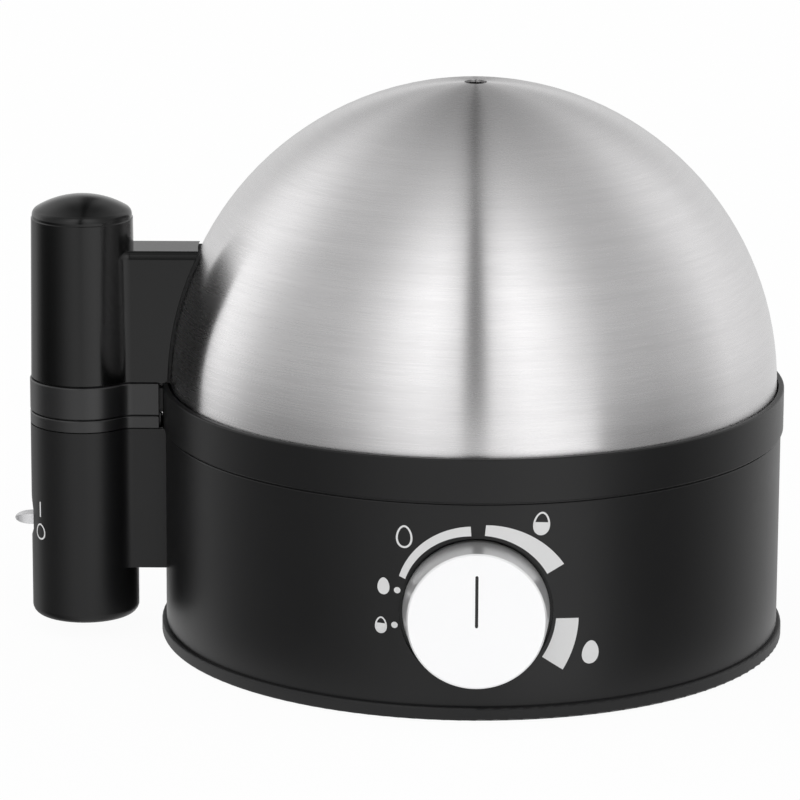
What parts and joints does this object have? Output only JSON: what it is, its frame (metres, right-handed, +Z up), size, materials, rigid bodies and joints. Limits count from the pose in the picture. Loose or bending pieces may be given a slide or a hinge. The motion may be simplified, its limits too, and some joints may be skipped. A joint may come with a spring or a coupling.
{
  "type": "electric egg cooker",
  "caption": "Round electric egg cooker with a drum base, hardness knob, side column with rocker lever, lift-out egg tray and hemispherical steel lid.",
  "frame": {"origin": "on the axis of the drum and dome, in the plane of the rubber ring's underside, which stands on the table", "axes": "+Z up along the axis of the drum and dome; the knob faces -Y, the front; +X to the right, so the column with the handles and the switch stands at -X"},
  "size_m": [0.2547, 0.214, 0.185],
  "materials": {
    "base_plastic": "satin black, finely textured",
    "bottom_plastic": "matte black",
    "band_plastic": "satin black",
    "gloss_handle": "polished black",
    "dome_steel": "brushed in rings round the axis",
    "dish_steel": "brushed",
    "plate_steel": "satin",
    "screw_steel": "zinc plated",
    "strap_steel": "plain",
    "element_steel": "dark satin",
    "cast_aluminium": "cast",
    "rivet_aluminium": "plain",
    "foot_rubber": "matte",
    "seal_rubber": "matte silicone",
    "gasket_rubber": "matte",
    "gland_rubber": "matte",
    "knob_silver": "silver-white lacquer",
    "lever_silver": "silver lacquer",
    "pointer_black": "matte",
    "shaft_brass": "turned",
    "fuse_ceramic": "matte",
    "thermostat_black": "moulded phenolic",
    "board_green": "solder mask",
    "part_black": "moulded",
    "terminal_white": "moulded"
  },
  "bodies": {
    "base": {"base_housing": "base_plastic", "bottom_plate": "bottom_plastic", "column_cap": "band_plastic", "rubber_ring": "foot_rubber", "bottom_screws": "screw_steel", "heating_dish": "dish_steel", "dish_seal": "seal_rubber", "heat_spreader": "cast_aluminium", "heating_element": "element_steel", "thermostat": "thermostat_black", "thermostat_strap": "strap_steel", "thermal_fuse": "fuse_ceramic", "timer_control": "part_black", "control_board": "board_green", "buzzer": "part_black", "terminal_block": "terminal_white", "switch_body": "part_black", "lever_pin": "screw_steel", "cable_gland": "gland_rubber"},
    "knob": {"knob": "knob_silver", "knob_pointer": "pointer_black", "knob_shaft": "shaft_brass"},
    "switch": {"switch_lever": "lever_silver"},
    "egg_tray": {"tray_ring": "base_plastic", "egg_plate": "plate_steel", "plate_rivets": "rivet_aluminium", "tray_handle": "band_plastic", "tray_screw": "screw_steel"},
    "lid": {"dome": "dome_steel", "lid_handle": "gloss_handle", "handle_cover": "band_plastic", "cover_screw": "screw_steel", "lid_screws": "screw_steel", "bracket_gasket": "gasket_rubber"}
  },
  "joints": [
    {"name": "tray_lift", "type": "slide", "parent": "base", "child": "egg_tray", "axis": [0, 0, 1], "range_m": [0, 0.1]},
    {"name": "lid_lift", "type": "slide", "parent": "egg_tray", "child": "lid", "axis": [0, 0, 1], "range_m": [0, 0.14]},
    {"name": "knob_turn", "type": "hinge", "parent": "base", "child": "knob", "pos_m": [0, -0.1, 0.0356], "axis": [0, 1, 0], "range_deg": [-98, 126]},
    {"name": "switch_toggle", "type": "hinge", "parent": "base", "child": "switch", "pos_m": [-0.136, 0, 0.0385], "axis": [0, 1, 0], "range_deg": [0, 19]}
  ]
}
